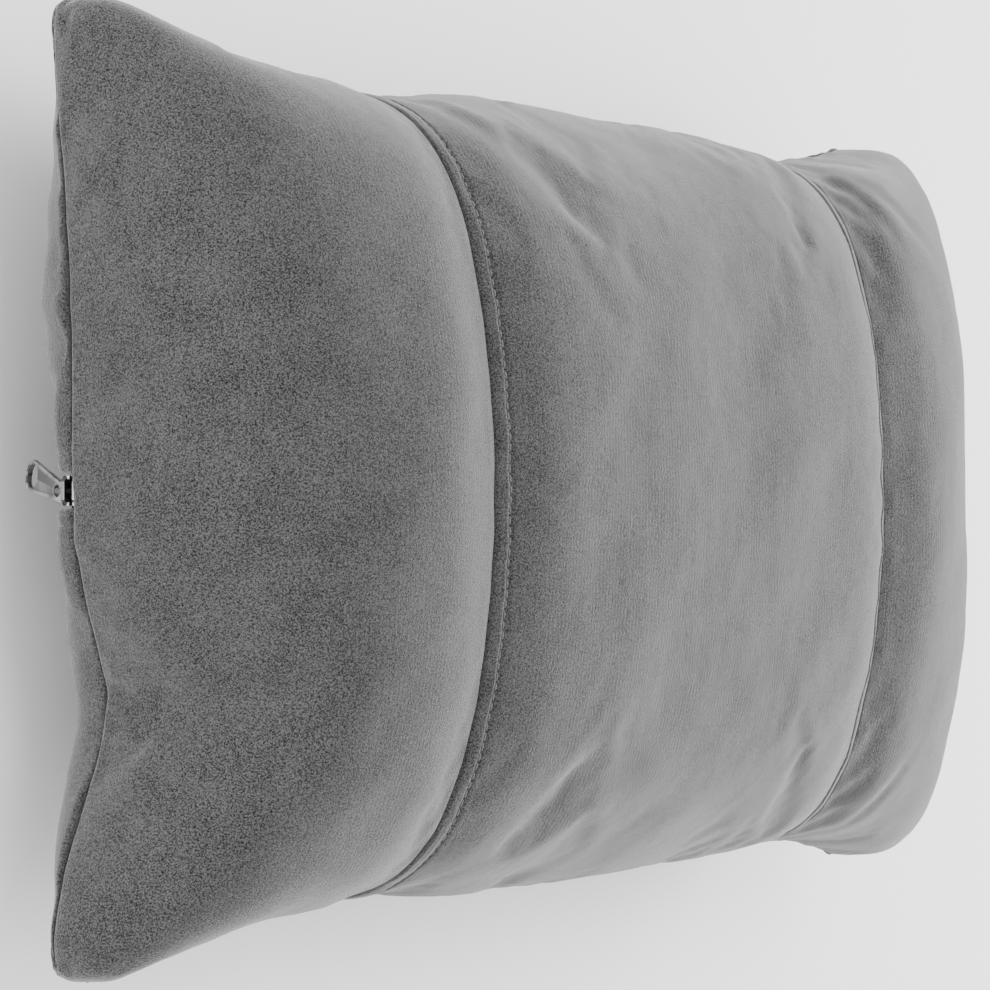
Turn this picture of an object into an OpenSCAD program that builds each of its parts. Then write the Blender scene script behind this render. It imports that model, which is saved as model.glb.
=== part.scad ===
// Camp pillow: a velour cover in five panels, closed by a zip along the middle of its back,
// round an inner casing full of soft filling. It lies on its back, sleeping face up.
// X is the long way (the closed end of the zip at -X), Y the short way, Z the thickness.

/* [Pillow] */
// Length of the plan before its ears are rounded off, which takes about 8 off
cut_length = 474; // [460:2:490]
// Width of the plan before its ears are rounded off, which takes about 25 off
cut_width = 314; // [304:2:324]
// How much narrower the far end is than the zip end
narrowing = 0.04; // [0:0.01:0.05]
// Height of the perimeter seam above the ground
seam_height = 46; // [44:1:50]
// Height of the crown above the perimeter seam
crown_height = 82; // [70:1:90]
// How much the crown rises towards the zip end and falls towards the far end
crown_slope = 0.1; // [0:0.02:0.12]
// How far the middle of each end is pulled in between its ears
end_pull = 11; // [8:1:15]
// How far the middle of each long side is pulled in between its ears
side_pull = 25; // [18:1:30]
// Depth of the dent in the zip end, on its lower half
dent_depth = 18; // [8:1:20]
// How far the two far ears droop
ear_droop = 15; // [0:1:18]
// Thickness of the velour
velour = 2; // [1.5:0.1:2.2]

/* [Front seams] */
// Distance of each front seam from the middle of the pillow
front_seam_x = 122; // [115:1:126]
// Depth of the valley that each front seam sits in
seam_valley = 7; // [5:0.5:8]
// Width of the stitched band beside each front seam
band = 5.5; // [4:0.5:8]

/* [Zip] */
// Height of the tape above the ground in the middle of the zip
zip_low = 9.5; // [9:0.5:11]
// Width of the open channel between the two lips
channel = 10.6; // [10.2:0.1:12]
// Distance of the lip's topstitching from its edge
lip = 5; // [4:0.5:6]
// Width of the slider's shoulders
slider_width = 9; // [8.8:0.1:9.2]
// Length of the pull from its hinge to its tip
pull_length = 21; // [19:0.5:23]
// Width of the pull at its outer end
pull_width = 9.6; // [8.4:0.1:10]
// Sideways lean of the pull in the slider's bail, in degrees
pull_skew = 18; // [0:1:18]

/* [Hidden] */

half_length = cut_length / 2;
half_width = cut_width / 2;
seam_u = front_seam_x / half_length;
band_u = seam_u - band / half_length;

// Plan shape: how square the pulled-in sides are, and how round the ears
end_power = 1.9;
side_power = 7.2;
ear_power = 20;
ear_cut = [0.1, 0.093];
far_ear_cut = [0.14, 0.16];
dent_v = -0.42;
dent_spread = 0.21;
dent_reach = 9;
droop_power = 6;
// The front seams nip the long sides in a little
seam_nip = 3.7;
nip_spread = 56;

// Section shape: power and root of the front crown and of the back lobes
front_u = [5.1, 0.424];
front_v = [1.85, 0.346];
back_u = [2.4, 0.68];
back_v = [2.2, 0.6];
back_fullness = 1.3;
valley_spread = 18;
valley_fade = 20;

// Zip: the tape lies on one circular arc about an axis along Y
tape_thick = 0.6;
tape_edge = 2.75;
tape_reach = 12.5;
tape_gap = 0.3;
lip_thick = 2.5;
zip_end_drop = 4;
zip_end_gap = 5.2;
zip_half = half_length - end_pull - zip_end_gap;
zip_rise = seam_height - zip_end_drop - zip_low;
zip_r = (zip_half * zip_half + zip_rise * zip_rise) / (2 * zip_rise);
zip_axis_z = zip_low + zip_r;
zip_angle = asin(zip_half / zip_r);
cover_r = zip_r + tape_thick / 2 + tape_gap + lip_thick;
lobe_start = 16;
lobe_full = 46;
rim_share = 0.006;
coil_r = 0.9;
coil_y = 1.85;

// Slider: local x runs along the zip, local z points out of it
slider_length = 12;
slider_taper = 0.6;
plate_in = 1.3;
plate_out = 2.5;
rail_width = 0.95;
rail_in = 0.6;
post_width = 1.4;
bail_r = 3.3;
bail_bar = 0.9;
bail_z = 3;
bail_foot = 1.9;
// The parked slider's shoulders reach past the tape's end, up to the perimeter seam
slider_reach = 3.2;
slider_rest = asin((zip_half + slider_reach - slider_length / 2) / zip_r);

// Pull: local x runs from the hinge to the tip
hinge_z = 4.3;
hinge_bar = 0.65;
pull_neck = 2.7;
pull_plate = 1;
pull_rim = 1.5;
pull_rim_width = 1.05;
eye_x = 2.75;
eye_r = 1.9;
slot_length = 4.8;
slot_width = 7.4;
// How far the pull leans from the zip's own normal: outwards, past the pillow's end, where negative
pull_rest = 31;

// Inner parts: how far each stays inside the cover, along X, Y and Z
cover_inset = [velour, velour, velour];
casing_inset = [24, 18, 7];
casing_thick = 1.2;
casing_inner = [for (i = casing_inset) i + casing_thick];
filling_inset = [for (i = casing_inner) i + 0.3];
thread_r = 0.4;
thread_gap = 0.15;
rim_thread_gap = 1;
rim_thread_share = 0.985;
rim_thread_cut = 0.06;
rim_thread_rise = 2;
casing_thread_gap = 3.4;
casing_thread_rise = 1;

// ---- Surfaces: u and v run from -1 to 1 across the plan, inset is [x, y, z] ----

function crown(t, shape) = pow(max(0, 1 - pow(abs(t), shape[0])), shape[1]);

function ease(t) = let (c = min(1, max(0, t))) c * c * (3 - 2 * c);

function dent(u, v) =
    u < 0 ? dent_depth * exp(-pow((v - dent_v) / dent_spread, 2)) * pow(abs(u), dent_reach) : 0;

// A bump of height 1 at each front seam
function at_seams(x, spread) =
    exp(-pow((x - front_seam_x) / spread, 2)) + exp(-pow((x + front_seam_x) / spread, 2));

function plan(u, v, inset) =
    let (ear = (u > 0 ? far_ear_cut : ear_cut) * pow(abs(u * v), ear_power),
         a = half_length - inset[0],
         b = half_width - inset[1],
         flank = pow(abs(u), side_power),
         end_in = end_pull * (1 - pow(abs(v), end_power)) * pow(abs(u), 3) + dent(u, v),
         side_in = side_pull * (1 - flank) + seam_nip * at_seams(a * u, nip_spread))
    [a * u * (1 - ear[0]) - sign(u) * end_in,
     (b * v * (1 - ear[1]) - sign(v) * side_in * pow(abs(v), 3)) * (1 - narrowing * (u + 1) / 2)];

// Height of the perimeter seam's own surface, level but for the far ears
function seam_z(u, v) = seam_height - (u > 0 ? ear_droop * pow(u * abs(v), droop_power) : 0);

function front_point(u, v, inset) =
    let (p = plan(u, v, inset),
         height = (crown_height - inset[2]) * (1 - crown_slope * u) * crown(u, front_u) * crown(v, front_v),
         valley = seam_valley * at_seams(p[0], valley_spread) * min(1, height / valley_fade))
    [p[0], p[1], seam_z(u, v) + height - valley];

// Height of the zip's own arc at x, inset from the cover's outer face
function arc_z(x, inset_z) = zip_axis_z - sqrt(pow(cover_r - inset_z, 2) - x * x);

function lobe_depth(u, v, inset_z) =
    (seam_height - inset_z) * min(1, back_fullness * crown(u, back_u) * crown(v, back_v));

function back_point(u, v, inset) =
    let (p = plan(u, v, inset),
         w = ease((abs(p[1]) - lobe_start) / (lobe_full - lobe_start)),
         zip_depth = (seam_height - arc_z(p[0], inset[2])) * min(1, (1 - abs(u)) / rim_share))
    [p[0], p[1], seam_z(u, v) - (1 - w) * zip_depth - w * lobe_depth(u, v, inset[2])];

// ---- Grids ----

function sine_steps(from, to, steps) =
    [for (i = [0:steps]) sin(asin(from) + (asin(to) - asin(from)) * i / steps)];

front_v_steps = sine_steps(-1, 1, 22);
left_u_steps = sine_steps(-1, -seam_u, 9);
centre_u_steps = concat([-seam_u], sine_steps(-band_u, band_u, 12), [seam_u]);
right_u_steps = sine_steps(seam_u, 1, 9);
back_u_steps = concat([-1], sine_steps(rim_share - 1, 1 - rim_share, 24), [1]);
lip_v_steps = [for (y = [channel / 2, channel / 2 + lip, tape_reach]) y / half_width];
back_v_steps = concat(lip_v_steps, sine_steps(22 / half_width, 1, 9));
back_down_steps = [for (i = [len(back_v_steps) - 1:-1:0]) -back_v_steps[i]];
casing_u_steps = concat([-1], sine_steps(rim_share - 1, 1 - rim_share, 16), [1]);
casing_v_steps = sine_steps(-1, 1, 16);

function front_grid(us, vs, inset) = [for (u = us) [for (v = vs) front_point(u, v, inset)]];
function back_grid(us, vs, inset) = [for (u = us) [for (v = vs) back_point(u, v, inset)]];

// ---- Solids from grids ----

function flat_list(rows) = [for (row = rows) each row];

function grid_faces(n, m, start, turned) =
    [for (i = [0:n - 2]) for (j = [0:m - 2])
        let (a = start + i * m + j, b = a + m, c = b + 1, d = a + 1)
        each (turned ? [[a, b, c], [a, c, d]] : [[a, c, b], [a, d, c]])];

// Faces that close the four edges between an upper and a lower grid of the same size
function wall(a, b, up, down) = [[up + a, up + b, down + b], [up + a, down + b, down + a]];
function wall_faces(n, m, up, down) = concat(
    [for (i = [0:n - 2]) each wall(i * m, (i + 1) * m, up, down)],
    [for (i = [0:n - 2]) each wall((i + 2) * m - 1, (i + 1) * m - 1, up, down)],
    [for (j = [0:m - 2]) each wall(j + 1, j, up, down)],
    [for (j = [0:m - 2]) each wall((n - 1) * m + j, (n - 1) * m + j + 1, up, down)]);

// A closed solid between an upper grid and a lower one
module between(upper, lower) {
    n = len(upper);
    m = len(upper[0]);
    polyhedron(points = concat(flat_list(upper), flat_list(lower)),
               faces = concat(grid_faces(n, m, 0, false), grid_faces(n, m, n * m, true),
                              wall_faces(n, m, 0, n * m)));
}

// Filling: two grids that share their rim, so the rim's lower points are left as a thin band
module cushion(us, vs, inset) {
    raised = [for (u = us) [for (v = vs) front_point(u, v, inset) + [0, 0, 0.2]]];
    between(raised, back_grid(us, vs, inset));
}

// A thread swept along a row of points, with hexagonal rings square to X or to Y
function ring(centre, across) =
    [for (k = [0:5]) centre + thread_r * (cos(60 * k) * across + sin(60 * k) * [0, 0, 1])];

module thread(points, acrosses, closed = false) {
    count = len(points);
    rings = [for (i = [0:count - 1]) ring(points[i], acrosses[i])];
    last = closed ? count - 1 : count - 2;
    sides = [for (i = [0:last]) for (k = [0:5])
        let (a = i * 6 + k, b = i * 6 + (k + 1) % 6,
             c = ((i + 1) % count) * 6 + (k + 1) % 6, d = ((i + 1) % count) * 6 + k)
        each [[a, b, c], [a, c, d]]];
    ends = closed ? [] : [[5, 4, 3, 2, 1, 0], [for (k = [0:5]) (count - 1) * 6 + k]];
    polyhedron(points = flat_list(rings), faces = concat(sides, ends));
}

// ---- Cover ----

module front_left_panel() {
    color([0.42, 0.42, 0.43])
        between(front_grid(left_u_steps, front_v_steps, [0, 0, 0]),
                front_grid(left_u_steps, front_v_steps, cover_inset));
}

module front_centre_panel() {
    color([0.5, 0.5, 0.51])
        between(front_grid(centre_u_steps, front_v_steps, [0, 0, 0]),
                front_grid(centre_u_steps, front_v_steps, cover_inset));
}

module front_right_panel() {
    color([0.6, 0.6, 0.61])
        between(front_grid(right_u_steps, front_v_steps, [0, 0, 0]),
                front_grid(right_u_steps, front_v_steps, cover_inset));
}

module back_upper_panel() {
    color([0.55, 0.55, 0.56])
        between(back_grid(back_u_steps, back_v_steps, [velour, velour, lip_thick]),
                back_grid(back_u_steps, back_v_steps, [0, 0, 0]));
}

module back_lower_panel() {
    color([0.52, 0.52, 0.53])
        between(back_grid(back_u_steps, back_down_steps, [velour, velour, lip_thick]),
                back_grid(back_u_steps, back_down_steps, [0, 0, 0]));
}

// ---- Threads ----

thread_v_steps = [for (i = [1:len(front_v_steps) - 2]) front_v_steps[i]];

// Along a line of constant u on the front, standing off the outer face or under the inner one
module front_thread(u, inset, offset) {
    thread([for (v = thread_v_steps) front_point(u, v, inset) + [0, 0, offset]],
           [for (v = thread_v_steps) [1, 0, 0]]);
}

module front_seam_thread_left() {
    color([0.35, 0.35, 0.36])
        front_thread(-seam_u, cover_inset + [0, 2, 0], -1.5);
}

module front_seam_thread_right() {
    color([0.35, 0.35, 0.36])
        front_thread(seam_u, cover_inset + [0, 2, 0], -1.5);
}

module front_topstitch_left() {
    color([0.35, 0.35, 0.36])
        front_thread(-band_u, [0, 0, 0], thread_r + thread_gap);
}

module front_topstitch_right() {
    color([0.35, 0.35, 0.36])
        front_thread(band_u, [0, 0, 0], thread_r + thread_gap);
}

// Points round the plan's rim, one side after another
rim_count = 24;
rim_steps = [for (i = [0:rim_count - 1]) sin(-90 + 180 * i / rim_count)];
rim_uv = concat([for (t = rim_steps) [t, -1]], [for (t = rim_steps) [1, t]],
                [for (t = rim_steps) [-t, 1]], [for (t = rim_steps) [-1, -t]]);

// A closed thread that follows a rim at a share of the way out to it, and cuts across inside its ears
module rim_thread(inset, share, cut, rise) {
    points = [for (uv = rim_uv)
        let (out = share - cut * pow(abs(uv[0] * uv[1]), 8), u = out * uv[0], v = out * uv[1])
        concat(plan(u, v, inset), [seam_z(u, v) + rise])];
    count = len(points);
    acrosses = [for (i = [0:count - 1])
        let (along = points[(i + 1) % count] - points[(i + count - 1) % count])
        [along[1], -along[0], 0] / norm(along)];
    thread(points, acrosses, closed = true);
}

module perimeter_seam_thread() {
    color([0.35, 0.35, 0.36])
        rim_thread([velour + rim_thread_gap, velour + rim_thread_gap, 0],
                   rim_thread_share, rim_thread_cut, rim_thread_rise);
}

module casing_seam_thread() {
    color([0.85, 0.85, 0.83])
        rim_thread([casing_inset[0] - casing_thread_gap, casing_inset[1] - casing_thread_gap, 0],
                   1, 0, casing_thread_rise);
}

// ---- Zip ----

// Sweeps a profile, given as [distance from the arc's axis, distance along Y], along the zip
module along_zip(half_angle) {
    translate([0, 0, zip_axis_z])
        rotate([90, 0, 0])
            rotate_extrude(angle = 2 * half_angle, start = 270 - half_angle, $fn = 180)
                children();
}

module zip_tape(side) {
    color([0.05, 0.05, 0.05])
        along_zip(zip_angle)
            translate([zip_r - tape_thick / 2, side > 0 ? -tape_reach : tape_edge])
                square([tape_thick, tape_reach - tape_edge]);
}

module zip_coil(side) {
    color([0.08, 0.08, 0.08])
        along_zip(zip_angle)
            translate([zip_r, -side * coil_y])
                circle(r = coil_r, $fn = 24);
}

module zip_tape_upper() { zip_tape(1); }
module zip_tape_lower() { zip_tape(-1); }
module zip_coil_upper() { zip_coil(1); }
module zip_coil_lower() { zip_coil(-1); }

module zip_topstitch(side) {
    v = side * (channel / 2 + lip) / half_width;
    us = [for (i = [1:len(back_u_steps) - 2]) back_u_steps[i]];
    color([0.35, 0.35, 0.36])
        thread([for (u = us) back_point(u, v, [0, 0, 0]) - [0, 0, thread_r + thread_gap]],
               [for (u = us) [0, -1, 0]]);
}

module zip_topstitch_upper() { zip_topstitch(1); }
module zip_topstitch_lower() { zip_topstitch(-1); }

// ---- Slider ----

// Places a shape whose z points out of the zip at the slider's rest station
module at_slider() {
    translate([0, 0, zip_axis_z])
        rotate([0, slider_rest, 0])
            translate([0, 0, -zip_r])
                rotate([180, 0, 0])
                    children();
}

// Half width of the slider at local x: widest at the shoulders, which face the zip's closed end
function slider_half(x) = slider_width / 2 - slider_taper * (x + slider_length / 2) / slider_length;

slider_nose = 1.8;
slider_plan = let (h = slider_length / 2) [
    [-h, -slider_half(-h) + slider_nose], [-h + slider_nose, -slider_half(-h + slider_nose)],
    [h - 1, -slider_half(h - 1)], [h, -slider_half(h) + 1],
    [h, slider_half(h) - 1], [h - 1, slider_half(h - 1)],
    [-h + slider_nose, slider_half(-h + slider_nose)], [-h, slider_half(-h) - slider_nose]];

module slider_plate(low) {
    translate([0, 0, low])
        linear_extrude(plate_out - plate_in)
            polygon(slider_plan);
}

module slider_rail(side, low) {
    h = slider_length / 2;
    translate([0, 0, low])
        linear_extrude(plate_in - rail_in)
            polygon([for (p = [[-h + slider_nose, 0], [h - 1, 0], [h - 1, rail_width],
                               [-h + slider_nose, rail_width]])
                [p[0], side * (slider_half(p[0]) - p[1])]]);
}

module slider_post() {
    h = slider_length / 2;
    translate([0, 0, -plate_in])
        linear_extrude(2 * plate_in)
            polygon([[-h + 0.3, 0], [-h + 1.9, -post_width / 2], [-h + 4.2, 0],
                     [-h + 1.9, post_width / 2]]);
}

module slider_bail() {
    translate([0, 0, bail_z])
        rotate([90, 0, 0])
            rotate_extrude(angle = 180, $fn = 48)
                translate([bail_r, 0])
                    circle(r = bail_bar, $fn = 24);
    for (side = [-1, 1])
        translate([side * bail_r, 0, bail_foot])
            cylinder(r = bail_bar, h = bail_z - bail_foot, $fn = 24);
}

module slider_body() {
    color([0.16, 0.16, 0.17])
        at_slider()
            union() {
                slider_plate(plate_in);
                slider_plate(-plate_out);
                for (side = [-1, 1]) {
                    slider_rail(side, rail_in);
                    slider_rail(side, -plate_in);
                }
                slider_post();
                slider_bail();
            }
}

// ---- Pull ----

function arc_points(centre, r, from, to, steps) =
    [for (i = [0:steps]) let (t = from + (to - from) * i / steps) centre + r * [cos(t), sin(t)]];

// Outline of the pull, shrunk by inset: a straight neck that flares to a rounded end
function pull_outline(inset) =
    let (neck = pull_neck - inset, wide = pull_width / 2 - inset, corner = 2.4 - inset / 2,
         tip = pull_length - inset)
    concat([[inset, -neck]],
           arc_points([tip - 0.6 - corner, -wide + corner], corner, -80, -15, 6),
           [[tip, 0]],
           arc_points([tip - 0.6 - corner, wide - corner], corner, 15, 80, 6),
           [[inset, neck]]);

module pull_slot() {
    translate([pull_length - pull_rim_width - 0.4 - slot_length / 2, 0])
        scale([slot_length / slot_width, 1])
            circle(d = slot_width, $fn = 48);
}

module pull_eye() {
    translate([eye_x, 0, -pull_rim])
        cylinder(r = eye_r, h = 2 * pull_rim, $fn = 48);
}

module pull_shape() {
    difference() {
        union() {
            linear_extrude(pull_plate, center = true)
                difference() {
                    polygon(pull_outline(0));
                    pull_slot();
                }
            linear_extrude(pull_rim, center = true)
                difference() {
                    polygon(pull_outline(0));
                    polygon(pull_outline(pull_rim_width));
                }
            translate([eye_x, 0, -pull_rim / 2])
                cylinder(r = eye_r + 0.6, h = pull_rim, $fn = 48);
        }
        pull_eye();
    }
    rotate([90, 0, 0])
        cylinder(r = hinge_bar, h = 2 * pull_neck, center = true, $fn = 32);
    translate([pull_length - 0.4, 0, 0])
        cylinder(r = 0.9, h = pull_rim + 0.2, center = true, $fn = 24);
}

module slider_pull() {
    color([0.3, 0.3, 0.31])
        at_slider()
            translate([0, 0, hinge_z])
                rotate([0, -90 + pull_rest, 0])
                    translate([eye_x, 0, 0])
                        rotate([0, 0, -pull_skew])
                            translate([-eye_x, 0, 0])
                                pull_shape();
}

// ---- Inside ----

module inner_casing_front() {
    color([0.9, 0.9, 0.88])
        between(front_grid(casing_u_steps, casing_v_steps, casing_inset),
                front_grid(casing_u_steps, casing_v_steps, casing_inner));
}

module inner_casing_back() {
    color([0.88, 0.88, 0.86])
        between(back_grid(casing_u_steps, casing_v_steps, casing_inner),
                back_grid(casing_u_steps, casing_v_steps, casing_inset));
}

module filling() {
    color([0.95, 0.94, 0.9])
        cushion(casing_u_steps, casing_v_steps, filling_inset);
}

front_left_panel();
front_centre_panel();
front_right_panel();
back_upper_panel();
back_lower_panel();
front_seam_thread_left();
front_seam_thread_right();
front_topstitch_left();
front_topstitch_right();
perimeter_seam_thread();
zip_tape_upper();
zip_tape_lower();
zip_coil_upper();
zip_coil_lower();
zip_topstitch_upper();
zip_topstitch_lower();
slider_body();
slider_pull();
inner_casing_front();
inner_casing_back();
casing_seam_thread();
filling();
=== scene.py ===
"""A velour camp pillow, lying on its back with its three-panel sleeping face up.

Shapes are worked out in millimetres, in the CAD model's frame, and turned into metres as each mesh is made.
X runs along the pillow with the zip's closed end at -X, Y across it, Z up.
u and v run from -1 to 1 across the plan.
"""

import math

import bpy
import numpy as np
from mathutils import Matrix, Vector


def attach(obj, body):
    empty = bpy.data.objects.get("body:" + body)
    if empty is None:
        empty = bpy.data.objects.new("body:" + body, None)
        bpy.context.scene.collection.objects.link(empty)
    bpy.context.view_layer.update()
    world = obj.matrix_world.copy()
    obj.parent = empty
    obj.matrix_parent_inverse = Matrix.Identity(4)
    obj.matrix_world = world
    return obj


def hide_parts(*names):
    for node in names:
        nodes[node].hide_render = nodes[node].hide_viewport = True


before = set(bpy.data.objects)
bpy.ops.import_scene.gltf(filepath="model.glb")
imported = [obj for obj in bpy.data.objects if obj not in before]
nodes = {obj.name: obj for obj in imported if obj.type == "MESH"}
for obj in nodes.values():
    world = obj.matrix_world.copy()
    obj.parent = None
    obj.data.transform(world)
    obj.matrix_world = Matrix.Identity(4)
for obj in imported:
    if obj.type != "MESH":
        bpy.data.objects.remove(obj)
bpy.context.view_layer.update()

MM = 0.001

# ---- Sizes shared with the CAD model ----

HALF_LENGTH = 237
HALF_WIDTH = 157
NARROWING = 0.04
SEAM_HEIGHT = 46
CROWN_HEIGHT = 82
CROWN_SLOPE = 0.1
END_PULL, END_POWER = 11, 1.9
SIDE_PULL, SIDE_POWER = 25, 7.2
EAR_POWER = 20
EAR_CUT, FAR_EAR_CUT = (0.1, 0.093), (0.14, 0.16)
EAR_DROOP, DROOP_POWER = 15, 6
DENT_DEPTH, DENT_V, DENT_SPREAD, DENT_REACH = 18, -0.42, 0.21, 9
SEAM_X, SEAM_VALLEY, VALLEY_SPREAD, VALLEY_FADE = 122, 7, 18, 20
SEAM_NIP, NIP_SPREAD = 3.7, 56
BAND = 5.5
FRONT_U, FRONT_V = (5.1, 0.424), (1.85, 0.346)
BACK_U, BACK_V, BACK_FULLNESS = (2.4, 0.68), (2.2, 0.6), 1.3
LOBE_START, LOBE_FULL = 16, 46
ZIP_LOW, ZIP_END_DROP, ZIP_END_GAP = 9.5, 4, 5.2
TAPE_THICK, TAPE_GAP, LIP_THICK = 0.6, 0.3, 2.5
CHANNEL, LIP = 10.6, 5
COIL_R, COIL_Y = 0.9, 1.85

SEAM_U = SEAM_X / HALF_LENGTH
ZIP_HALF = HALF_LENGTH - END_PULL - ZIP_END_GAP
ZIP_RISE = SEAM_HEIGHT - ZIP_END_DROP - ZIP_LOW
ZIP_R = (ZIP_HALF**2 + ZIP_RISE**2) / (2 * ZIP_RISE)
ZIP_AXIS_Z = ZIP_LOW + ZIP_R
ZIP_ANGLE = math.asin(ZIP_HALF / ZIP_R)
COVER_R = ZIP_R + TAPE_THICK / 2 + TAPE_GAP + LIP_THICK
RIM_SHARE = 0.006

# The near ear at +Y reaches a little further than in the CAD model
EAR_REACH = 5


# ---- The pillow's form, as in the CAD model ----


def crown(t, shape):
    return np.clip(1 - np.abs(t) ** shape[0], 0, None) ** shape[1]


def ease(t):
    c = np.clip(t, 0, 1)
    return c * c * (3 - 2 * c)


def at_seams(x, spread):
    return np.exp(-(((x - SEAM_X) / spread) ** 2)) + np.exp(-(((x + SEAM_X) / spread) ** 2))


def plan(u, v, inset=(0, 0, 0)):
    corner = np.abs(u * v) ** EAR_POWER
    a = HALF_LENGTH - inset[0]
    b = HALF_WIDTH - inset[1]
    flank = np.abs(u) ** SIDE_POWER
    dent = DENT_DEPTH * np.exp(-(((v - DENT_V) / DENT_SPREAD) ** 2)) * np.abs(u) ** DENT_REACH
    end_in = END_PULL * (1 - np.abs(v) ** END_POWER) * np.abs(u) ** 3 + np.where(u < 0, dent, 0)
    side_in = SIDE_PULL * (1 - flank) + SEAM_NIP * at_seams(a * u, NIP_SPREAD)
    cut_x = np.where(u > 0, FAR_EAR_CUT[0], EAR_CUT[0]) * corner
    cut_y = np.where(u > 0, FAR_EAR_CUT[1], EAR_CUT[1]) * corner
    x = a * u * (1 - cut_x) - np.sign(u) * end_in
    x = x - EAR_REACH * np.clip(-u, 0, 1) ** 6 * np.clip(v, 0, 1) ** 8
    y = b * v * (1 - cut_y) - np.sign(v) * side_in * np.abs(v) ** 3
    return x, y * (1 - NARROWING * (u + 1) / 2)


def seam_z(u, v):
    return SEAM_HEIGHT - np.where(u > 0, EAR_DROOP * np.abs(u * v) ** DROOP_POWER, 0)


def front_form(u, v, inset=(0, 0, 0)):
    x, y = plan(u, v, inset)
    height = (CROWN_HEIGHT - inset[2]) * (1 - CROWN_SLOPE * u) * crown(u, FRONT_U) * crown(v, FRONT_V)
    valley = SEAM_VALLEY * at_seams(x, VALLEY_SPREAD) * np.minimum(1, height / VALLEY_FADE)
    return np.stack([x, y, seam_z(u, v) + height - valley], axis=-1)


def back_form(u, v, inset=(0, 0, 0)):
    x, y = plan(u, v, inset)
    lobe = ease((np.abs(y) - LOBE_START) / (LOBE_FULL - LOBE_START))
    arc = ZIP_AXIS_Z - np.sqrt((COVER_R - inset[2]) ** 2 - x * x)
    zip_depth = (SEAM_HEIGHT - arc) * np.minimum(1, (1 - np.abs(u)) / RIM_SHARE)
    full = np.minimum(1, BACK_FULLNESS * crown(u, BACK_U) * crown(v, BACK_V))
    depth = (1 - lobe) * zip_depth + lobe * (SEAM_HEIGHT - inset[2]) * full
    return np.stack([x, y, seam_z(u, v) - depth], axis=-1)


# ---- Grids ----


def stations(start, stop, curve, pitch, first=(0,), last=(0,)):
    """Values from start to stop that lie pitch apart along a curve, with chosen distances near its ends."""
    t = np.sin(np.linspace(math.asin(start), math.asin(stop), 4001))
    points = curve(t)
    arc = np.concatenate([[0], np.cumsum(np.linalg.norm(np.diff(points, axis=0), axis=1))])
    steps = max(2, round((arc[-1] - first[-1] - last[-1]) / pitch))
    middle = np.linspace(first[-1], arc[-1] - last[-1], steps + 1)
    marks = np.concatenate([first[:-1], middle, arc[-1] - np.array(last[:-1])[::-1]])
    return np.interp(marks, arc, t)


def cubic_weights(steps, at):
    """The matrix that takes values at steps to values at other places, by Catmull-Rom interpolation."""
    place = np.interp(at, steps, np.arange(len(steps)))
    k = np.clip(np.floor(place).astype(int), 0, len(steps) - 2)
    f = place - k
    parts = (
        -0.5 * f**3 + f**2 - 0.5 * f,
        1.5 * f**3 - 2.5 * f**2 + 1,
        -1.5 * f**3 + 2 * f**2 + 0.5 * f,
        0.5 * f**3 - 0.5 * f**2,
    )
    matrix = np.zeros((len(at), len(steps)))
    for shift, part in zip((-1, 0, 1, 2), parts):
        np.add.at(matrix, (np.arange(len(at)), np.clip(k + shift, 0, len(steps) - 1)), part)
    return matrix


def grid_normals(p):
    """Unit normals of a grid of points, up for a grid whose rows run along X and columns along Y."""
    face = np.cross(p[1:, 1:] - p[:-1, :-1], p[:-1, 1:] - p[1:, :-1])
    face /= np.maximum(np.linalg.norm(face, axis=-1, keepdims=True), 1e-12)
    total = np.zeros_like(p)
    total[:-1, :-1] += face
    total[1:, :-1] += face
    total[:-1, 1:] += face
    total[1:, 1:] += face
    return total / np.maximum(np.linalg.norm(total, axis=-1, keepdims=True), 1e-12)


def grid_quads(n, m, flipped=False):
    i, j = np.meshgrid(np.arange(n - 1), np.arange(m - 1), indexing="ij")
    a = (i * m + j).ravel()
    quads = np.stack([a, a + m, a + m + 1, a + 1], axis=1)
    return quads[:, ::-1] if flipped else quads


def waves(points, length, seed, count=28):
    """A smooth uneven field with about unit strength, made of sine waves of about one length."""
    rng = np.random.default_rng(seed)
    ways = rng.normal(size=(count, 3))
    ways /= np.linalg.norm(ways, axis=1, keepdims=True)
    turns = 2 * math.pi / (length * rng.uniform(0.65, 1.6, count))
    phases = rng.uniform(0, 2 * math.pi, count)
    field = np.zeros(points.shape[:-1])
    for way, turn, phase in zip(ways, turns, phases):
        field += np.sin((points @ way) * turn + phase)
    return field * math.sqrt(2 / count)


# ---- Making pieces ----


def make_piece(name, points, faces, material):
    """A smooth mesh on the pillow's body, from points in millimetres, in place of its CAD node."""
    mesh = bpy.data.meshes.new(name)
    mesh.from_pydata((np.asarray(points).reshape(-1, 3) * MM).tolist(), [], faces)
    mesh.polygons.foreach_set("use_smooth", [True] * len(mesh.polygons))
    mesh.materials.append(material)
    mesh.validate()
    obj = bpy.data.objects.new(name, mesh)
    bpy.context.scene.collection.objects.link(obj)
    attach(obj, "pillow")
    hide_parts(name)
    return obj


def thicken(obj, thickness):
    solid = obj.modifiers.new("cloth thickness", "SOLIDIFY")
    solid.thickness = thickness * MM
    solid.offset = -1


# ---- Materials ----


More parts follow.
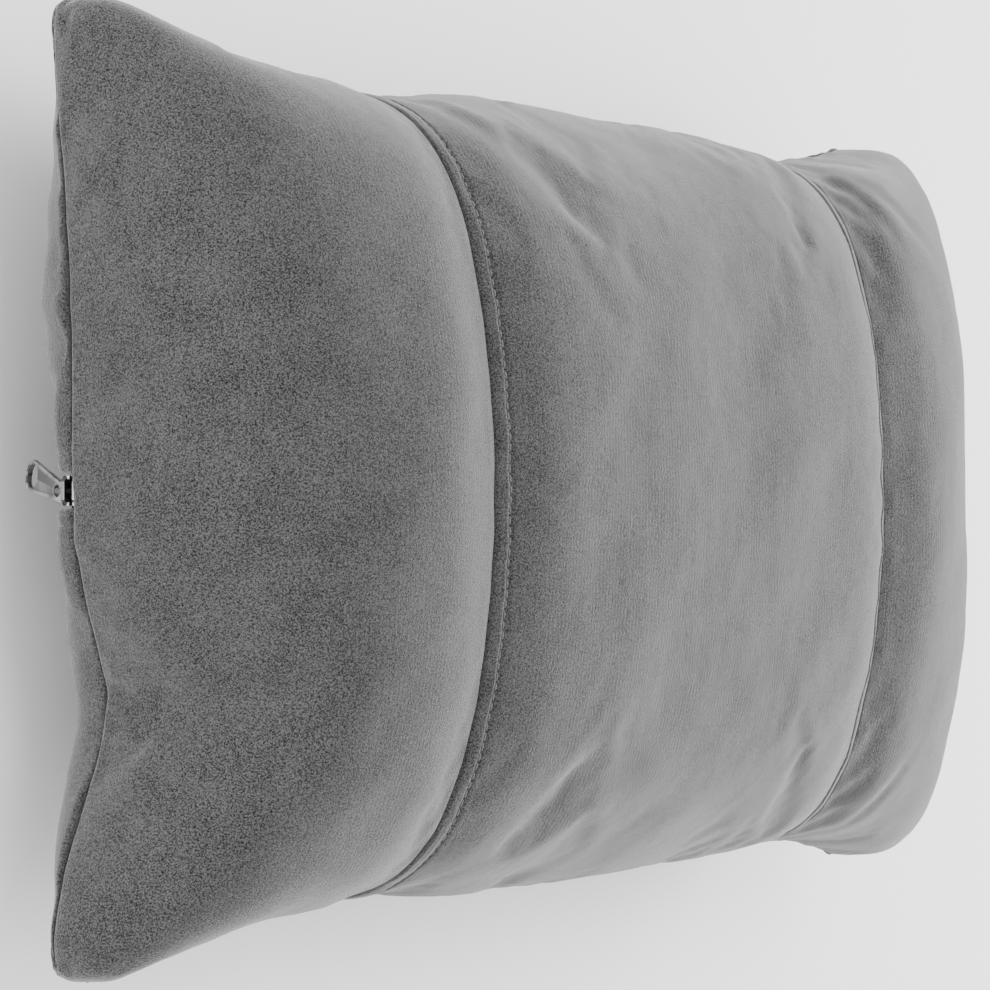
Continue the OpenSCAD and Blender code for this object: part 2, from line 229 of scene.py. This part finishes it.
class Nodes:
    """A short way to build a node material."""

    # Sockets of the Mix node that carry colours
    MIX_A, MIX_B, MIX_RESULT = 6, 7, 2

    def __init__(self, name):
        self.material = bpy.data.materials.new(name)
        self.material.use_nodes = True
        self.tree = self.material.node_tree
        self.shader = self.tree.nodes["Principled BSDF"]
        self.place = self.tree.nodes.new("ShaderNodeTexCoord").outputs["Object"]

    def add(self, kind, inputs=(), **settings):
        node = self.tree.nodes.new(kind)
        for key, value in settings.items():
            setattr(node, key, value)
        for key, value in dict(inputs).items():
            self.put(node.inputs[key], value)
        return node

    def put(self, socket, value):
        if isinstance(value, bpy.types.NodeSocket):
            self.tree.links.new(value, socket)
        else:
            socket.default_value = value

    def noise(self, scale, detail=2.0, rough=0.5):
        values = {"Vector": self.place, "Scale": scale, "Detail": detail, "Roughness": rough}
        return self.add("ShaderNodeTexNoise", values).outputs["Fac"]

    def math(self, operation, a, b=0.0):
        return self.add("ShaderNodeMath", {0: a, 1: b}, operation=operation).outputs[0]

    def spread(self, value, low, high, to_low, to_high):
        values = {"Value": value, "From Min": low, "From Max": high, "To Min": to_low, "To Max": to_high}
        return self.add("ShaderNodeMapRange", values).outputs["Result"]

    def bands(self, scale, distortion, direction="X", **more):
        values = {"Vector": self.place, "Scale": scale, "Distortion": distortion, **more}
        wave = self.add("ShaderNodeTexWave", values, wave_type="BANDS", bands_direction=direction)
        return wave.outputs["Fac"]

    def tint(self, dark, light, factor):
        node = self.add("ShaderNodeMix", data_type="RGBA")
        self.put(node.inputs["Factor"], factor)
        self.put(node.inputs[self.MIX_A], dark)
        self.put(node.inputs[self.MIX_B], light)
        return node.outputs[self.MIX_RESULT]

    def bump(self, height, distance, strength=1.0, under=None):
        values = {"Height": height, "Distance": distance, "Strength": strength}
        if under is not None:
            values["Normal"] = under
        return self.add("ShaderNodeBump", values).outputs["Normal"]

    def set(self, **values):
        for key, value in values.items():
            self.put(self.shader.inputs[key.replace("_", " ")], value)


def velour():
    n = Nodes("velour")
    nap = n.noise(70, 3)
    flecks = n.noise(1900, 2, 0.75)
    drift = n.noise(14, 2)
    wale = n.bands(190, 2.5, **{"Detail": 2.0, "Detail Scale": 1.5})
    tone = n.math("ADD", n.spread(nap, 0.3, 0.7, -0.08, 0.08), n.spread(flecks, 0.36, 0.64, -0.5, 0.5))
    tone = n.math("ADD", tone, n.spread(drift, 0.3, 0.7, -0.04, 0.04))
    tone = n.math("ADD", tone, n.spread(wale, 0, 1, -0.025, 0.025))
    tone = n.math("ADD", tone, 0.5)
    colour = n.tint((0.003, 0.003, 0.0033, 1), (0.093, 0.093, 0.0945, 1), tone)
    pile = n.bump(flecks, 0.0006, 0.7)
    pile = n.bump(wale, 0.0002, 0.12, pile)
    pile = n.bump(nap, 0.003, 0.1, pile)
    n.set(Base_Color=colour, Roughness=0.92, Normal=pile)
    n.set(Specular_IOR_Level=0.15, Sheen_Weight=0.55, Sheen_Roughness=0.4, Sheen_Tint=(1, 1, 1, 1))
    return n.material


def thread_material():
    n = Nodes("sewing_thread")
    ply = n.bands(600, 1.0, "DIAGONAL")
    colour = n.tint((0.06, 0.06, 0.062, 1), (0.15, 0.15, 0.155, 1), ply)
    n.set(Base_Color=colour, Roughness=0.7, Normal=n.bump(ply, 0.0001, 0.6))
    n.set(Sheen_Weight=0.2)
    return n.material


def tape_material():
    n = Nodes("zip_tape")
    weave = n.math("MULTIPLY", n.bands(520, 0.6), n.bands(620, 0.3, "Y"))
    colour = n.tint((0.008, 0.008, 0.009, 1), (0.028, 0.028, 0.03, 1), weave)
    n.set(Base_Color=colour, Roughness=0.85, Normal=n.bump(weave, 0.00012, 0.7))
    n.set(Sheen_Weight=0.15)
    return n.material


def coil_material():
    n = Nodes("zip_coil")
    scuff = n.noise(900, 3)
    colour = n.tint((0.008, 0.008, 0.009, 1), (0.03, 0.03, 0.032, 1), scuff)
    n.set(Base_Color=colour, Roughness=n.spread(scuff, 0.3, 0.7, 0.3, 0.5))
    return n.material


def gunmetal():
    n = Nodes("gunmetal")
    cast = n.noise(700, 4, 0.6)
    highlight_patches = n.noise(260, 3)
    geometry = n.add("ShaderNodeNewGeometry").outputs["Pointiness"]
    # Painted highlight: the colour turns lighter on sharp convex edges, broken into patches, for the bright
    # rim of light on the slider and pull
    edge = n.spread(geometry, 0.51, 0.6, 0.0, 1.0)
    painted_edge_highlight = n.math("MULTIPLY", edge, n.spread(highlight_patches, 0.35, 0.6, 0.3, 1.0))
    colour = n.tint((0.1, 0.1, 0.105, 1), (0.42, 0.42, 0.42, 1), painted_edge_highlight)
    n.set(Base_Color=colour, Roughness=n.spread(cast, 0.3, 0.7, 0.28, 0.42))
    n.set(Metallic=0.85, Normal=n.bump(cast, 0.00008, 0.35))
    return n.material


def casing_material():
    thread_scale = 420
    dark, light = (0.6, 0.6, 0.57, 1), (0.82, 0.82, 0.79, 1)
    n = Nodes("casing")
    weave = n.math("MULTIPLY", n.bands(thread_scale, 0.8), n.bands(thread_scale, 0.8, "Y"))
    n.set(Base_Color=n.tint(dark, light, weave), Roughness=0.85, Normal=n.bump(weave, 0.0001, 0.5))
    return n.material


def fibre_material():
    n = Nodes("fibre")
    tufts = n.noise(120, 6, 0.7)
    colour = n.tint((0.68, 0.67, 0.63, 1), (0.93, 0.92, 0.88, 1), tufts)
    n.set(Base_Color=colour, Roughness=0.95, Normal=n.bump(tufts, 0.004, 0.8))
    n.set(Sheen_Weight=0.4)
    return n.material


VELOUR = velour()
THREAD = thread_material()
TAPE = tape_material()
COIL = coil_material()
GUNMETAL = gunmetal()
CASING = casing_material()
FIBRE = fibre_material()


# ---- The cover's tension, by cloth simulation ----

SIM_PITCH = 4.6
SIM_FRAMES = 18
SIM_CAP = 3.0
SIM_SPARE = 0.006
# How far from the zip's middle the back is held, and how far it takes to come free
HELD_REACH, HELD_FADE = 14, 16


def front_curve_u(t):
    return front_form(t, np.zeros_like(t))


def front_curve_v(t):
    return front_form(np.zeros_like(t), t)


def held_weights(back, us, vs):
    """How firmly each point of the form is held: the seams and the zip's strip stay put."""
    u, v = np.meshgrid(us, vs, indexing="ij")
    rim = np.maximum(np.abs(u), np.abs(v)) > 1 - 1e-9
    seam = np.abs(np.abs(u) - SEAM_U) < 1e-6
    near_zip = 1 - ease((np.abs(back[..., 1]) - HELD_REACH) / HELD_FADE)
    return np.where(rim | seam, 1.0, 0.0), np.where(rim, 1.0, near_zip)


def cover_relaxation(us, vs):
    """Moves, in mm, that an inflated cloth of the form's own shape, cut a little large, settles into.
    The first grid is the front's, the second the back's."""
    u, v = np.meshgrid(us, vs, indexing="ij")
    n, m = u.shape
    front, back = front_form(u, v), back_form(u, v)
    front_held, back_held = held_weights(back, us, vs)
    front_index = np.arange(n * m).reshape(n, m)
    inner = np.zeros((n, m), bool)
    inner[1:-1, 1:-1] = True
    back_index = front_index.copy()
    back_index[inner] = n * m + np.arange(inner.sum())
    points = np.concatenate([front.reshape(-1, 3), back[inner]])
    quads = grid_quads(n, m)
    faces = np.concatenate([front_index.ravel()[quads], back_index.ravel()[quads][:, ::-1]])
    mesh = bpy.data.meshes.new("cover_sim")
    mesh.from_pydata((points * MM).tolist(), [], faces.tolist())
    obj = bpy.data.objects.new("cover_sim", mesh)
    bpy.context.scene.collection.objects.link(obj)
    group = obj.vertex_groups.new(name="held")
    held = np.concatenate([front_held.ravel(), back_held[inner]])
    for level in np.unique(np.round(held[held > 0], 1)):
        group.add(np.flatnonzero(np.round(held, 1) == level).tolist(), float(level), "REPLACE")
    cloth = obj.modifiers.new("cloth", "CLOTH")
    settings = cloth.settings
    settings.quality = 6
    settings.mass = 0.15
    settings.air_damping = 4
    settings.tension_stiffness = 25
    settings.compression_stiffness = 25
    settings.shear_stiffness = 8
    settings.bending_stiffness = 1.5
    settings.vertex_group_mass = "held"
    settings.shrink_min = -SIM_SPARE
    settings.use_pressure = True
    settings.uniform_pressure_force = 4
    settings.effector_weights.gravity = 0
    cloth.collision_settings.use_collision = False
    scene = bpy.context.scene
    for step in range(1, SIM_FRAMES + 1):
        scene.frame_set(step)
    settled = obj.evaluated_get(bpy.context.evaluated_depsgraph_get()).to_mesh()
    flat = np.zeros(len(points) * 3)
    settled.vertices.foreach_get("co", flat)
    moved = flat.reshape(-1, 3) / MM - points
    obj.to_mesh_clear()
    bpy.data.objects.remove(obj, do_unlink=True)
    bpy.data.meshes.remove(mesh)
    scene.frame_set(1)
    reach = np.linalg.norm(moved, axis=1, keepdims=True)
    moved *= SIM_CAP * np.tanh(reach / SIM_CAP) / np.maximum(reach, 1e-9)
    return moved[front_index.ravel()].reshape(n, m, 3), moved[back_index.ravel()].reshape(n, m, 3)


sim_us = np.concatenate([
    stations(-1, -SEAM_U, front_curve_u, SIM_PITCH)[:-1],
    stations(-SEAM_U, SEAM_U, front_curve_u, SIM_PITCH),
    stations(SEAM_U, 1, front_curve_u, SIM_PITCH)[1:],
])
sim_vs = stations(-1, 1, front_curve_v, SIM_PITCH)
relaxed = cover_relaxation(sim_us, sim_vs)


FRONT, BACK = 0, 1


def relaxed_move(side, us, vs):
    """The cloth's moves at chosen stations, on the front or the back."""
    rows = cubic_weights(sim_us, us)
    columns = cubic_weights(sim_vs, vs)
    return np.einsum("ai,ijk,bj->abk", rows, relaxed[side], columns, optimize=True)


# ---- Cover panels ----

PITCH = 2.3
# Where grid lines lie near an edge, measured from it
RIM_MARKS = (0, 0.35, 0.8, 1.3, 1.9, 2.7, 3.8, 5.4)
SEAM_MARKS = (0, 0.3, 0.7, 1.2, 1.9, 2.8, 4.0, 5.4, 7.2)
BAND_MARKS = (0, 0.3, 0.7, 1.2, 1.9, 2.8, 3.7, 4.4, 4.9, 5.2, 5.5, 5.8, 6.1, 6.6, 7.4, 8.6, 10.4)
LIP_MARKS = (0, 0.3, 0.7, 1.2, 2.0, 3.0, 4.0, 4.5, 5.0, 5.5, 6.0, 7.0, 8.5)
# Radius of the rounded cloth at each kind of edge
RIM_ROLL, SEAM_ROLL, LIP_ROLL = 1.7, 1.3, 1.1
TURN_IN = 2.5
RIM_GAP = 0.12
GROUND_GAP = 0.1
# How far each back lobe swells out beside the seam at the zip end
END_SWELL = {1: 4.5, -1: 3.0}
END_SWELL_START, END_SWELL_REACH, END_SWELL_POWER = 0.02, 0.76, 0.8
END_SWELL_AT, END_SWELL_SPREAD = 12, 11
CLOTH_THICK = 1.2
# Relief dies away towards the ears' tips, where the cloth folds under
TIP_POWER = 12

# Folds at the perimeter seam: height, length along the seam, reach inwards, soft start
RIM_FOLD, RIM_FOLD_LENGTH, RIM_FOLD_REACH, RIM_FOLD_START = 0.5, 13, 7, 1.5
# Unevenness of the stuffing: height and length of each size of bump
BUMPS = ((0.5, 75), (0.14, 28), (0.04, 8))
# Gathers at the front seams and at the zip: height, length, reach
SEAM_GATHER, SEAM_GATHER_LENGTH, SEAM_GATHER_REACH = 0.12, 14, 6
LIP_GATHER, LIP_GATHER_LENGTH, LIP_GATHER_REACH = 0.25, 14, 6
# How far a front seam calms the unevenness, and by what share
CALM_REACH, CALM_SHARE = 14, 0.75
# The cloth dips a little as it reaches a front seam
SEAM_DIP, SEAM_DIP_REACH = 0.4, 5
# A seam band is a little raised, has a stitched groove, and the cloth dips beyond it
BAND_RISE, BAND_START, BAND_END = 0.4, 1.5, 1.3
GROOVE, GROOVE_WIDTH = 0.7, 0.7
SHOULDER_DIP, SHOULDER_REACH = 0.4, 7
LIP_GROOVE, LIP_GROOVE_WIDTH = 0.7, 0.8
# The back's unevenness starts this far from the lip's edge, and takes this far to grow
LIP_CALM, LIP_CALM_FADE = 8, 25
# Seeds of the uneven fields
FRONT_SEED, BACK_SEED, RIM_SEED, SEAM_SEED, LIP_SEED = 3, 5, 11, 30, 41


def roll(distance, radius):
    """How deep a rounded edge lies at a distance from where it turns in."""
    reach = np.clip(radius - distance, 0, radius)
    return -(radius - np.sqrt(radius**2 - reach**2))


def edge_distances(p):
    """Distances along the grid's lines from its first and last row, and first and last column."""
    rows = np.linalg.norm(np.diff(p, axis=0), axis=-1)
    columns = np.linalg.norm(np.diff(p, axis=1), axis=-1)
    from_row = np.concatenate([np.zeros((1, p.shape[1])), np.cumsum(rows, axis=0)])
    from_column = np.concatenate([np.zeros((p.shape[0], 1)), np.cumsum(columns, axis=1)], axis=1)
    return from_row, from_row[-1:] - from_row, from_column, from_column[:, -1:] - from_column


def rim_puckers(p, distances, sides):
    """Small folds that run in from the perimeter seam, for the grid's edges named in sides."""
    feet = (p[:1], p[-1:], p[:, :1], p[:, -1:])
    total = np.zeros(p.shape[:2])
    for side in sides:
        foot = np.broadcast_to(feet[side], p.shape)
        fade = np.exp(-distances[side] / RIM_FOLD_REACH) * (1 - np.exp(-distances[side] / RIM_FOLD_START))
        total += RIM_FOLD * waves(foot, RIM_FOLD_LENGTH, RIM_SEED + side) * fade
    return total


def unevenness(p, seed):
    return sum(height * waves(p, length, seed + k) for k, (height, length) in enumerate(BUMPS))


# Creases where the stuffing pulls at the cover: x, y, heading in degrees, half length, half width, height
CREASES = (
    (-146, -136, 28, 17, 3.2, -1.3),
    (-128, -134, 40, 22, 4.5, 1.1),
    (-112, -130, 34, 18, 3.6, -0.9),
    (-108, 130, -52, 20, 4.0, -1.2),
    (-96, 126, -48, 18, 4.5, 0.9),
    (136, 112, -62, 18, 3.5, -1.3),
    (158, 104, -38, 20, 4.0, -1.1),
    (150, -108, 58, 16, 3.5, -1.2),
    (-200, -58, 14, 13, 5.0, -2.4),
    (-190, -74, 62, 18, 5.0, -0.9),
)


def creases(p):
    """Heights of the creases, each a rounded ridge or furrow that dies away along its length."""
    total = np.zeros(p.shape[:-1])
    for x, y, heading, length, width, height in CREASES:
        along = np.array([math.cos(math.radians(heading)), math.sin(math.radians(heading))])
        away = p[..., :2] - (x, y)
        t = away @ along
        s = away @ np.array([-along[1], along[0]])
        total += height * np.exp(-((t / length) ** 2) - (s / width) ** 2)
    return total


def inward(u, v):
    """Level directions from the rim to a point well inside it."""
    inside = 0.6
    here = np.stack(plan(u, v), axis=-1)
    way = np.stack(plan(inside * u, inside * v), axis=-1) - here
    way /= np.linalg.norm(way, axis=-1, keepdims=True)
    return np.concatenate([way, np.zeros(way.shape[:-1] + (1,))], axis=-1)


def panel_piece(name, form, moved, u, v, outward, depth, rims):
    """A cloth panel: the form, moved by the cloth's tension and pushed out by depth, then made solid.
    Its edges turn in, level at the grid's edges named in rims and square to the cloth at the others."""
    normals = grid_normals(form) * outward
    off_tip = 1 - np.abs(u * v) ** TIP_POWER
    shaped = form + moved + normals * (depth * off_tip)[..., None]
    base = seam_z(u, v)
    if outward > 0:
        shaped[..., 2] = np.maximum(shaped[..., 2], base + RIM_GAP)
    else:
        shaped[..., 2] = np.clip(shaped[..., 2], GROUND_GAP, base - RIM_GAP)
    turns = [
        inward(u, v)[edge] if side in rims else -normals[edge]
        for side, edge in enumerate((np.s_[0], np.s_[-1], np.s_[:, 0], np.s_[:, -1]))
    ]
    padded = np.pad(shaped, ((1, 1), (1, 1), (0, 0)), mode="edge")
    padded[0, 1:-1] += turns[0] * TURN_IN
    padded[-1, 1:-1] += turns[1] * TURN_IN
    padded[1:-1, 0] += turns[2] * TURN_IN
    padded[1:-1, -1] += turns[3] * TURN_IN
    for row, near_row in ((0, 1), (-1, -2)):
        for column, near_column in ((0, 1), (-1, -2)):
            padded[row, column] = (padded[row, near_column] + padded[near_row, column]) / 2
    faces = grid_quads(*padded.shape[:2], flipped=outward < 0).tolist()
    obj = make_piece(name, padded, faces, VELOUR)
    thicken(obj, CLOTH_THICK)
    return shaped, normals


def front_grid(us, vs):
    u, v = np.meshgrid(us, vs, indexing="ij")
    return front_form(u, v), relaxed_move(FRONT, us, vs), u, v


def seam_puckers(p, distance, seed):
    """Little gathers that cross a front seam."""
    along = np.stack([np.zeros_like(p[..., 0]), p[..., 1], p[..., 2]], axis=-1)
    return SEAM_GATHER * waves(along, SEAM_GATHER_LENGTH, seed) * np.exp(-distance / SEAM_GATHER_REACH)


def calm(distance):
    """Lets unevenness grow with the distance from a seam."""
    return 1 - CALM_SHARE * np.exp(-distance / CALM_REACH)


front_vs = stations(-1, 1, front_curve_v, PITCH, RIM_MARKS, RIM_MARKS)


def end_panel(name, side):
    """A front panel between the rim and a seam. side is -1 for the zip end, 1 for the far end."""
    if side < 0:
        us = stations(-1, -SEAM_U, front_curve_u, PITCH, RIM_MARKS, SEAM_MARKS)
    else:
        us = stations(SEAM_U, 1, front_curve_u, PITCH, SEAM_MARKS, RIM_MARKS)
    p, moved, u, v = front_grid(us, front_vs)
    distances = edge_distances(p)
    rims = (0, 2, 3) if side < 0 else (1, 2, 3)
    seam = distances[1] if side < 0 else distances[0]
    depth = unevenness(p, FRONT_SEED) * calm(seam) + rim_puckers(p, distances, rims)
    depth = depth + seam_puckers(p, seam, SEAM_SEED + 1 + side)
    depth = depth + creases(p)
    for edge in rims:
        depth = depth + roll(distances[edge], RIM_ROLL)
    depth = depth + roll(seam, SEAM_ROLL) - SEAM_DIP * np.exp(-seam / SEAM_DIP_REACH)
    return panel_piece(name, p, moved, u, v, 1, depth, rims)


def centre_panel():
    us = stations(-SEAM_U, SEAM_U, front_curve_u, PITCH, BAND_MARKS, BAND_MARKS)
    p, moved, u, v = front_grid(us, front_vs)
    distances = edge_distances(p)
    seam = np.minimum(distances[0], distances[1])
    depth = unevenness(p, FRONT_SEED) * calm(seam) + rim_puckers(p, distances, (2, 3)) + creases(p)
    for edge in (2, 3):
        depth = depth + roll(distances[edge], RIM_ROLL)
    for edge in (0, 1):
        across = distances[edge]
        band = BAND_RISE * ease(across / BAND_START) * ease((BAND - across) / BAND_END)
        groove = -GROOVE * np.exp(-(((across - BAND) / GROOVE_WIDTH) ** 2))
        shoulder = -SHOULDER_DIP * np.exp(-np.clip(across - BAND, 0, None) / SHOULDER_REACH)
        depth = depth + roll(across, SEAM_ROLL) + band + groove + shoulder
        depth = depth + seam_puckers(p, across, SEAM_SEED + 2 * edge)
    shaped, normals = panel_piece("front_centre_panel", p, moved, u, v, 1, depth, (2, 3))
    rows = (BAND_MARKS.index(BAND), len(us) - 1 - BAND_MARKS.index(BAND))
    return [(shaped[row], normals[row]) for row in rows]


def back_panel(name, side):
    """A back panel between the zip and the rim. side is 1 for the upper (+Y) one."""
    def curve(t):
        return back_form(np.full_like(t, 0.0), t)

    def long_curve(t):
        return back_form(t, np.full_like(t, 0.4))

    us = stations(-1, 1, long_curve, PITCH, RIM_MARKS, RIM_MARKS)
    lip_v = CHANNEL / 2 / HALF_WIDTH
    vs = stations(lip_v, 1, curve, PITCH, LIP_MARKS, RIM_MARKS)
    if side < 0:
        vs = -vs[::-1]
    u, v = np.meshgrid(us, vs, indexing="ij")
    p = back_form(u, v)
    distances = edge_distances(p)
    lip, outer = (2, 3) if side > 0 else (3, 2)
    rough = unevenness(p, BACK_SEED) + rim_puckers(p, distances, (0, 1, outer))
    depth = ease((distances[lip] - LIP_CALM) / LIP_CALM_FADE) * rough
    for edge in (0, 1, outer):
        depth = depth + roll(distances[edge], RIM_ROLL)
    share = np.clip((np.abs(v) - END_SWELL_START) / END_SWELL_REACH, 0, 1)
    swell = END_SWELL[side] * np.sin(math.pi * share) ** END_SWELL_POWER
    depth = depth + swell * np.exp(-(((distances[0] - END_SWELL_AT) / END_SWELL_SPREAD) ** 2))
    across = distances[lip]
    depth = depth + roll(across, LIP_ROLL) - LIP_GROOVE * np.exp(-(((across - LIP) / LIP_GROOVE_WIDTH) ** 2))
    foot = np.broadcast_to(p[:, [0 if side > 0 else -1]], p.shape)
    depth = depth + LIP_GATHER * waves(foot, LIP_GATHER_LENGTH, LIP_SEED) * np.exp(-across / LIP_GATHER_REACH)
    shaped, normals = panel_piece(name, p, relaxed_move(BACK, us, vs), u, v, -1, depth, (0, 1, outer))
    column = LIP_MARKS.index(LIP) if side > 0 else len(vs) - 1 - LIP_MARKS.index(LIP)
    return shaped[:, column], normals[:, column]


end_panel("front_left_panel", -1)
end_panel("front_right_panel", 1)
band_lines = centre_panel()
lip_lines = (back_panel("back_upper_panel", 1), back_panel("back_lower_panel", -1))


# ---- Stitches ----

STITCH_PITCH, STITCH_LENGTH, THREAD_R = 3.2, 2.6, 0.32
STITCH_SIDES = 7


def stitch_row(name, line, normals, trim=1.0):
    """Separate stitches along a line of points on the cloth, each dipping into it at both ends."""
    arc = np.concatenate([[0], np.cumsum(np.linalg.norm(np.diff(line, axis=0), axis=1))])
    points, faces = [], []
    rings = ((0.0, 0.55, -0.45), (0.12, 1.0, -0.12), (0.5, 1.0, 0.08), (0.88, 1.0, -0.12), (1.0, 0.55, -0.45))
    count = int((arc[-1] - 2 * trim) / STITCH_PITCH)
    for k in range(count):
        start = trim + k * STITCH_PITCH
        at = [start + share * STITCH_LENGTH for share, _, _ in rings]
        centres = np.stack([np.interp(at, arc, line[:, c]) for c in range(3)], axis=1)
        outs = np.stack([np.interp(at, arc, normals[:, c]) for c in range(3)], axis=1)
        outs /= np.linalg.norm(outs, axis=1, keepdims=True)
        along = centres[-1] - centres[0]
        along /= np.linalg.norm(along)
        first = len(points)
        for centre, out, (_, girth, lift) in zip(centres, outs, rings):
            side = np.cross(along, out)
            for s in range(STITCH_SIDES):
                turn = 2 * math.pi * s / STITCH_SIDES
                rim = math.cos(turn) * side + math.sin(turn) * out
                points.append(centre + out * (lift + THREAD_R) + rim * THREAD_R * girth)
        for r in range(len(rings) - 1):
            for s in range(STITCH_SIDES):
                a = first + r * STITCH_SIDES + s
                b = first + r * STITCH_SIDES + (s + 1) % STITCH_SIDES
                faces.append([a, b, b + STITCH_SIDES, a + STITCH_SIDES])
        faces.append([first + s for s in range(STITCH_SIDES)][::-1])
        faces.append([first + (len(rings) - 1) * STITCH_SIDES + s for s in range(STITCH_SIDES)])
    make_piece(name, np.array(points), faces, THREAD)


stitch_row("front_topstitch_left", *band_lines[0], trim=6)
stitch_row("front_topstitch_right", *band_lines[1], trim=6)
stitch_row("zip_topstitch_upper", *lip_lines[0], trim=5)
stitch_row("zip_topstitch_lower", *lip_lines[1], trim=5)


# ---- Zip ----

COIL_PITCH, COIL_STEPS, COIL_SIDES, COIL_WIRE = 1.3, 10, 6, 0.2


def coil(name, side):
    """The nylon coil: a flattened helix that follows the zip's arc."""
    turns = int(2 * ZIP_ANGLE * ZIP_R / COIL_PITCH)
    count = turns * COIL_STEPS
    angle = np.linspace(-ZIP_ANGLE, ZIP_ANGLE, count)
    phase = np.arange(count) * 2 * math.pi / COIL_STEPS
    out = np.stack([np.sin(angle), np.zeros(count), -np.cos(angle)], axis=1)
    across = np.array([0, side, 0])
    axis = np.array([0, side * COIL_Y, ZIP_AXIS_Z])
    reach = COIL_R - COIL_WIRE
    line = axis + out * (ZIP_R + reach * np.sin(phase))[:, None] + across * (reach * np.cos(phase))[:, None]
    along = np.gradient(line, axis=0)
    along /= np.linalg.norm(along, axis=1, keepdims=True)
    side_way = np.cross(along, out)
    side_way /= np.linalg.norm(side_way, axis=1, keepdims=True)
    other_way = np.cross(side_way, along)
    rings = []
    for s in range(COIL_SIDES):
        turn = 2 * math.pi * s / COIL_SIDES
        rings.append(line + COIL_WIRE * (math.cos(turn) * side_way + math.sin(turn) * other_way))
    tube = np.stack(rings + [rings[0]], axis=1)
    quads = grid_quads(count, COIL_SIDES + 1)
    column = quads % (COIL_SIDES + 1) % COIL_SIDES
    quads = quads // (COIL_SIDES + 1) * COIL_SIDES + column
    ends = [list(range(COIL_SIDES)), list(range((count - 1) * COIL_SIDES, count * COIL_SIDES))[::-1]]
    points = tube[:, :COIL_SIDES].reshape(-1, 3)
    make_piece(name, points, quads[:, ::-1].tolist() + ends, COIL)


coil("zip_coil_upper", 1)
coil("zip_coil_lower", -1)


# ---- CAD nodes that stay, with their own materials ----


def finish_node(name, material, bevel=0.0):
    obj = nodes[name]
    obj.data.materials.clear()
    obj.data.materials.append(material)
    if bevel:
        edge = obj.modifiers.new("soft edges", "BEVEL")
        edge.width = bevel * MM
        edge.segments = 2
        edge.limit_method = "ANGLE"
        edge.angle_limit = math.radians(35)
        edge.harden_normals = False


finish_node("zip_tape_upper", TAPE)
finish_node("zip_tape_lower", TAPE)
finish_node("slider_body", GUNMETAL, 0.12)
finish_node("slider_pull", GUNMETAL, 0.12)
for thread_node in ("front_seam_thread_left", "front_seam_thread_right", "perimeter_seam_thread"):
    finish_node(thread_node, THREAD)
for casing_node in ("inner_casing_front", "inner_casing_back", "casing_seam_thread"):
    finish_node(casing_node, CASING)
finish_node("filling", FIBRE)


# ---- Camera, floor and light ----

CAMERA_TURN, CAMERA_PITCH, CAMERA_ROLL = 53.22, 0.385, -0.286
CAMERA_SHIFT = (10.3, -0.6)
CAMERA_DISTANCE = 1342
CAMERA_LENS = 143.3


def turn_about(axis, degrees):
    return np.array(Matrix.Rotation(math.radians(degrees), 3, axis))


def make_camera():
    """Looks down at the zip end from above it, with the width upright in the picture."""
    turn = math.radians(CAMERA_TURN)
    base = np.array([[math.cos(turn), 0, math.sin(turn)], [0, 1, 0], [math.sin(turn), 0, -math.cos(turn)]])
    rows = turn_about("Z", CAMERA_ROLL) @ turn_about("X", CAMERA_PITCH) @ base
    offset = np.array([*CAMERA_SHIFT, CAMERA_DISTANCE])
    place = (-rows.T @ offset + np.array([0, 0, SEAM_HEIGHT])) * MM
    data = bpy.data.cameras.new("camera")
    data.lens = CAMERA_LENS
    data.sensor_width = 36
    data.clip_end = 20
    camera = bpy.data.objects.new("camera", data)
    matrix = Matrix.Identity(4)
    for row in range(3):
        matrix[row][0] = rows[0][row]
        matrix[row][1] = rows[1][row]
        matrix[row][2] = -rows[2][row]
        matrix[row][3] = place[row]
    camera.matrix_world = matrix
    bpy.context.scene.collection.objects.link(camera)
    bpy.context.scene.camera = camera


def make_floor():
    """A plain pale floor, 12 metres across."""
    n = Nodes("floor")
    n.set(Base_Color=(0.96, 0.96, 0.96, 1), Roughness=0.9, Specular_IOR_Level=0.1)
    mesh = bpy.data.meshes.new("floor")
    side = 6
    corners = [(-side, -side, 0), (side, -side, 0), (side, side, 0), (-side, side, 0)]
    mesh.from_pydata(corners, [], [(0, 1, 2, 3)])
    mesh.materials.append(n.material)
    floor = bpy.data.objects.new("floor", mesh)
    bpy.context.scene.collection.objects.link(floor)


def area_light(name, place, aim, size, power):
    data = bpy.data.lights.new(name, "AREA")
    data.shape = "DISK"
    data.size = size
    data.energy = power
    light = bpy.data.objects.new(name, data)
    back = np.array(place, float) - np.array(aim, float)
    light.matrix_world = Matrix.Translation(place) @ look_rotation(back)
    bpy.context.scene.collection.objects.link(light)


def look_rotation(back):
    """A rotation that turns local +Z to the given direction."""
    return Vector(back).to_track_quat("Z", "Y").to_matrix().to_4x4()


def make_world():
    world = bpy.data.worlds.new("studio")
    world.use_nodes = True
    background = world.node_tree.nodes["Background"]
    background.inputs["Color"].default_value = (1, 1, 1, 1)
    background.inputs["Strength"].default_value = 1.6
    bpy.context.scene.world = world


make_camera()
make_floor()
make_world()
area_light("key", (-0.5, 0.9, 1.7), (0, 0, 0.05), 1.2, 18)
area_light("far light", (1.7, 0.1, 0.75), (0, 0, 0.05), 1.2, 66)
area_light("low light", (-1.7, 0.1, 0.06), (-0.2, 0, 0.03), 0.8, 30)
